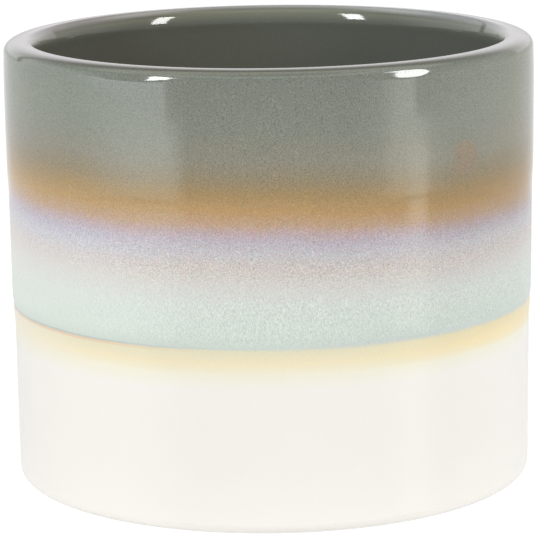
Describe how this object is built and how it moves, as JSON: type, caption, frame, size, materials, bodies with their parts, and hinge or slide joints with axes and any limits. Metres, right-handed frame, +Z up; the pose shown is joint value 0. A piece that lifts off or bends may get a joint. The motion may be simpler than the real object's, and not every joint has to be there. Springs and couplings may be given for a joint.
{
  "type": "cachepot",
  "caption": "Thick-walled round ceramic cachepot with a rounded rim, a closed floor, a low foot ring and layered coats of reactive glaze in grey-green, ochre, mint, cream and white.",
  "frame": {"origin": "centre of the foot ring's underside, on the surface the pot stands on", "axes": "+Z up along the axis of the pot, out of its mouth; +X and +Y are alike, since the pot is round; the picture looks along +Y"},
  "size_m": [0.1498, 0.1498, 0.1255],
  "materials": {
    "fired_clay": "bare fired clay, fine grained and matt",
    "liner_glaze": "dark grey-green gloss glaze",
    "white_glaze": "warm white satin glaze",
    "cream_glaze": "cream-yellow satin gloss glaze",
    "mint_glaze": "mint reactive gloss glaze with mauve and lavender speckle above",
    "grey_glaze": "grey-green reactive gloss glaze with an ochre lower edge"
  },
  "bodies": {
    "root": {"clay_body": "fired_clay", "liner_glaze": "liner_glaze", "white_glaze": "white_glaze", "cream_glaze": "cream_glaze", "mint_glaze": "mint_glaze", "grey_glaze": "grey_glaze"}
  },
  "joints": []
}
